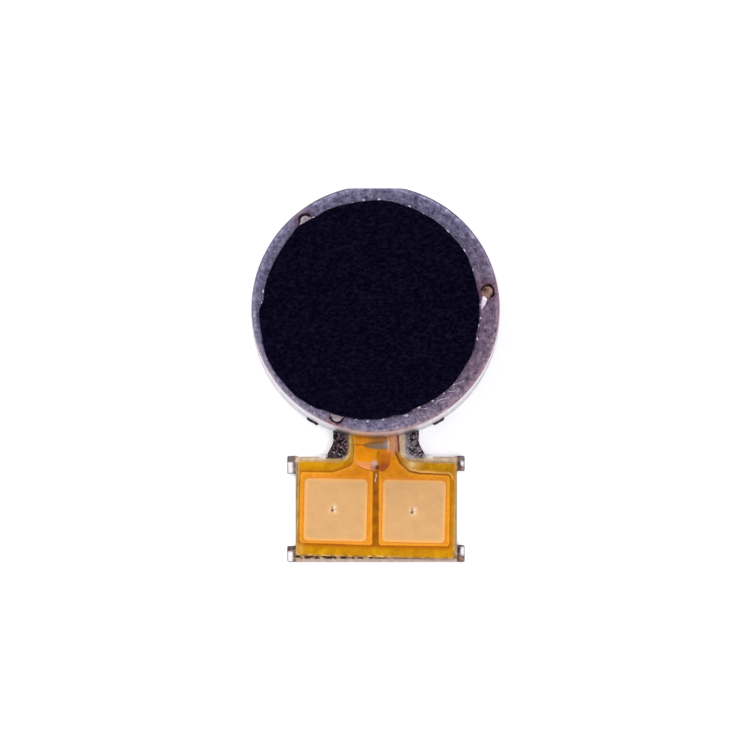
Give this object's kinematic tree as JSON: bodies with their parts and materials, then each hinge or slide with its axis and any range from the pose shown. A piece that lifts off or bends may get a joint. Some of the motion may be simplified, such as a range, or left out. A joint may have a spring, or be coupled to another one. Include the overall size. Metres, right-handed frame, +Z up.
{
  "type": "vibration coin motor",
  "caption": "Round coin vibration motor of the linear resonant kind, in a drawn metal can with a foam top and a metal tail that carries a flex circuit with square gold contact pads.",
  "frame": {"origin": "on the coin's axis, on the underside of the base plate", "axes": "+Z up along the coin's axis towards the foam; -Y along the tail; +X to the right with the foam towards the viewer and the tail below"},
  "size_m": [0.01, 0.0149, 0.0033],
  "materials": {
    "can_steel": "satin",
    "bracket_steel": "satin",
    "burnt_weld": "matte",
    "clear_adhesive": "satin",
    "black_foam": "matte",
    "polyimide_film": "gloss",
    "etched_copper": "satin",
    "gold_plating": "satin",
    "clear_sealant": "gloss",
    "enamelled_copper": "gloss",
    "solder": "satin",
    "damper_rubber": "matte",
    "spring_steel": "satin",
    "yoke_iron": "satin",
    "nickel_plating": "polished",
    "tungsten_alloy": "matte",
    "magnetic_fluid": "gloss"
  },
  "bodies": {
    "housing": {"case": "can_steel", "bracket": "bracket_steel", "bracket_weld_beads": "burnt_weld", "spring_weld_spots": "burnt_weld", "foam_adhesive": "clear_adhesive", "foam_pad": "black_foam", "flex_adhesive": "clear_adhesive", "flex_base_film": "polyimide_film", "copper_trace_left": "etched_copper", "copper_trace_right": "etched_copper", "flex_coverlay": "polyimide_film", "contact_pad_left": "gold_plating", "contact_pad_right": "gold_plating", "exit_sealant": "clear_sealant", "coil_adhesive": "clear_adhesive", "voice_coil": "enamelled_copper", "coil_lead_left": "enamelled_copper", "coil_lead_right": "enamelled_copper", "solder_joints": "solder", "lower_damper": "damper_rubber", "upper_damper": "damper_rubber", "suspension_spring": "spring_steel"},
    "moving_mass": {"back_yoke": "yoke_iron", "magnet": "nickel_plating", "pole_plate": "yoke_iron", "weight_ring": "tungsten_alloy", "ferrofluid_ring": "magnetic_fluid", "yoke_weld_spots": "spring_steel"}
  },
  "joints": [
    {"name": "mass_slide", "type": "slide", "parent": "housing", "child": "moving_mass", "axis": [0, 0, 1], "range_m": [-0.0003, 0.0003], "stiffness_N_per_m": 1090, "deforming": ["suspension_spring"]}
  ]
}
